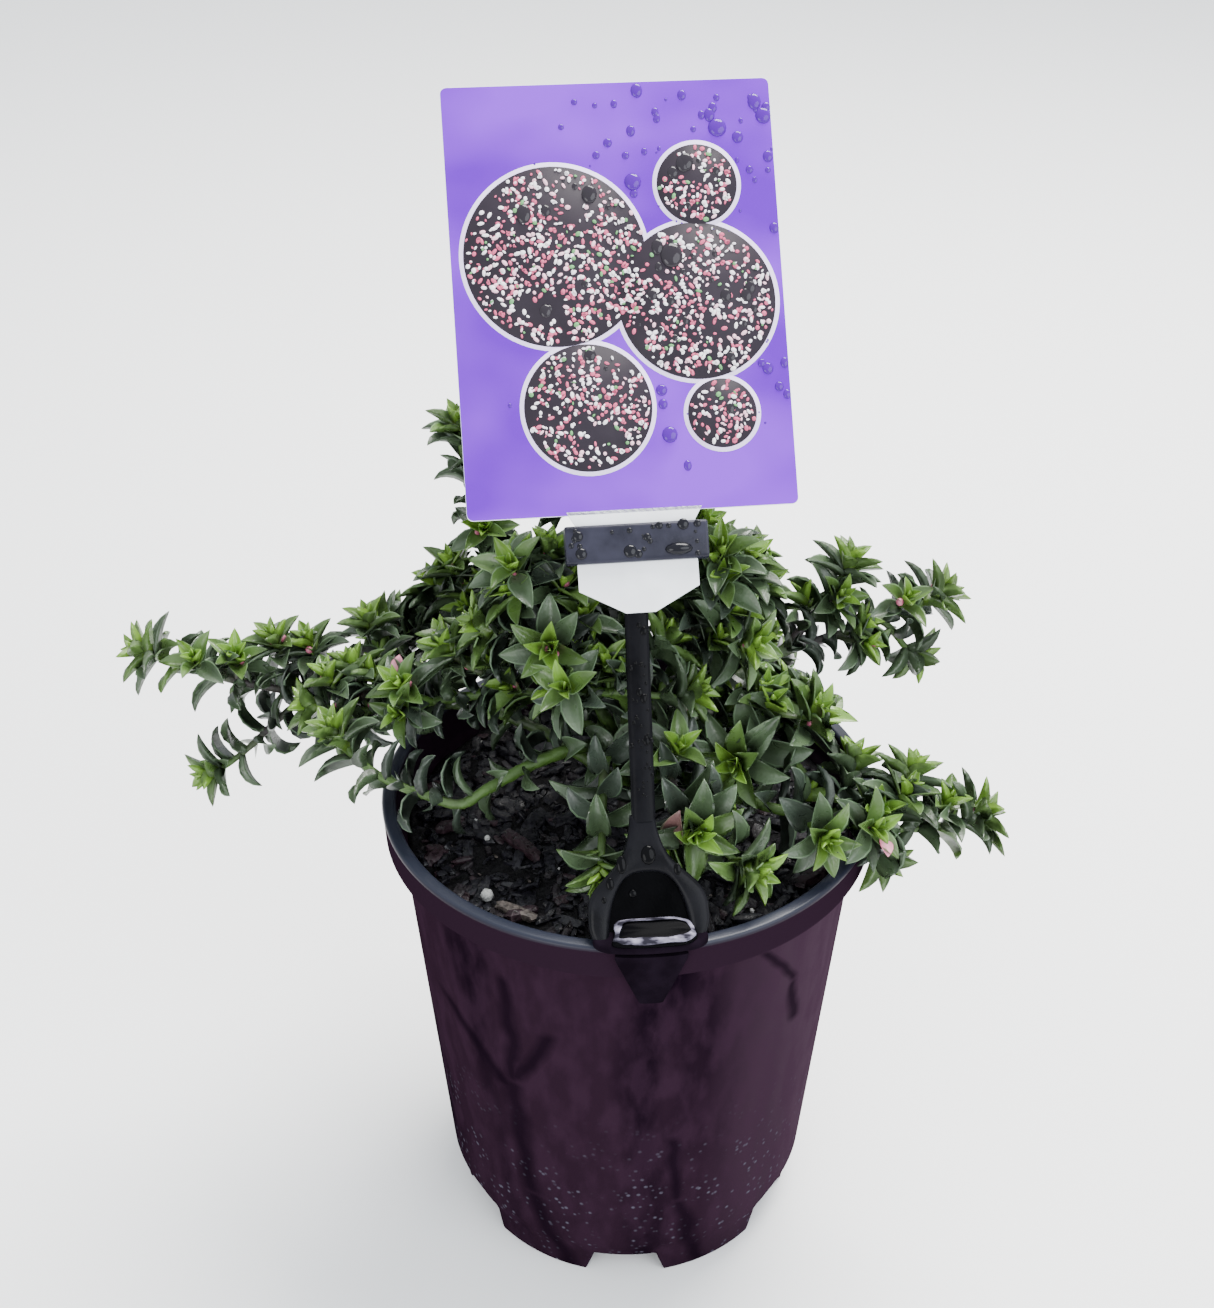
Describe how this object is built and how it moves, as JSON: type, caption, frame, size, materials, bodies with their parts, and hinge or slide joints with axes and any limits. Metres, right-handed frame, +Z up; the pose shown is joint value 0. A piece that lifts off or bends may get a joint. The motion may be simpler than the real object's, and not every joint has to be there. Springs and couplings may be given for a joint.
{
  "type": "potted shrub",
  "caption": "Low, spreading box-leaf waxflower shrub in a round plastic nursery pot of bark mix, with a blank leaning plant label held on the rim by a clip.",
  "frame": {"origin": "centre of the pot's flat underside, on the surface that the pot stands on", "axes": "+Z up; -Y towards the side of the rim that carries the label; +X to the right of someone facing the label"},
  "size_m": [0.2453, 0.1716, 0.3288],
  "materials": {
    "pot_plastic": "dark purple-brown moulded plastic, satin, wet, with a glossier lip",
    "bark_mix": "wet black bark chips",
    "holder_plastic": "black moulded plastic, satin, wet",
    "label_print": "printed plastic card, violet, satin",
    "old_bark": "rough grey-brown bark",
    "green_bark": "warty green to purplish bark",
    "leaf_green": "smooth leathery leaves, satin, wet"
  },
  "bodies": {
    "root": {"pot": "pot_plastic", "potting_mix": "bark_mix", "label_holder": "holder_plastic", "label_card": "label_print", "trunk": "old_bark", "bough_left_back": "green_bark", "bough_front_left": "green_bark", "bough_front": "green_bark", "bough_front_right": "green_bark", "bough_right_front": "green_bark", "bough_right": "green_bark", "bough_right_back": "green_bark", "bough_back_right": "green_bark", "bough_back": "green_bark", "bough_back_left": "green_bark", "bough_left": "green_bark", "bough_top_left": "green_bark", "bough_top_right": "green_bark", "bough_top_front": "green_bark", "bough_top_back": "green_bark", "foliage_far_left": "leaf_green", "foliage_left": "leaf_green", "foliage_left_upper": "leaf_green", "foliage_front_left": "leaf_green", "foliage_front": "leaf_green", "foliage_front_right": "leaf_green", "foliage_right_front": "leaf_green", "foliage_right": "leaf_green", "foliage_right_back": "leaf_green", "foliage_right_back_upper": "leaf_green", "foliage_top_left": "leaf_green", "foliage_top_right": "leaf_green", "foliage_top_front": "leaf_green", "foliage_top_back": "leaf_green", "foliage_back_left": "leaf_green", "foliage_back_left_low": "leaf_green", "foliage_back_left_upper": "leaf_green", "foliage_back": "leaf_green", "foliage_back_trailing": "leaf_green", "foliage_back_right": "leaf_green", "foliage_back_right_upper": "leaf_green"}
  },
  "joints": []
}
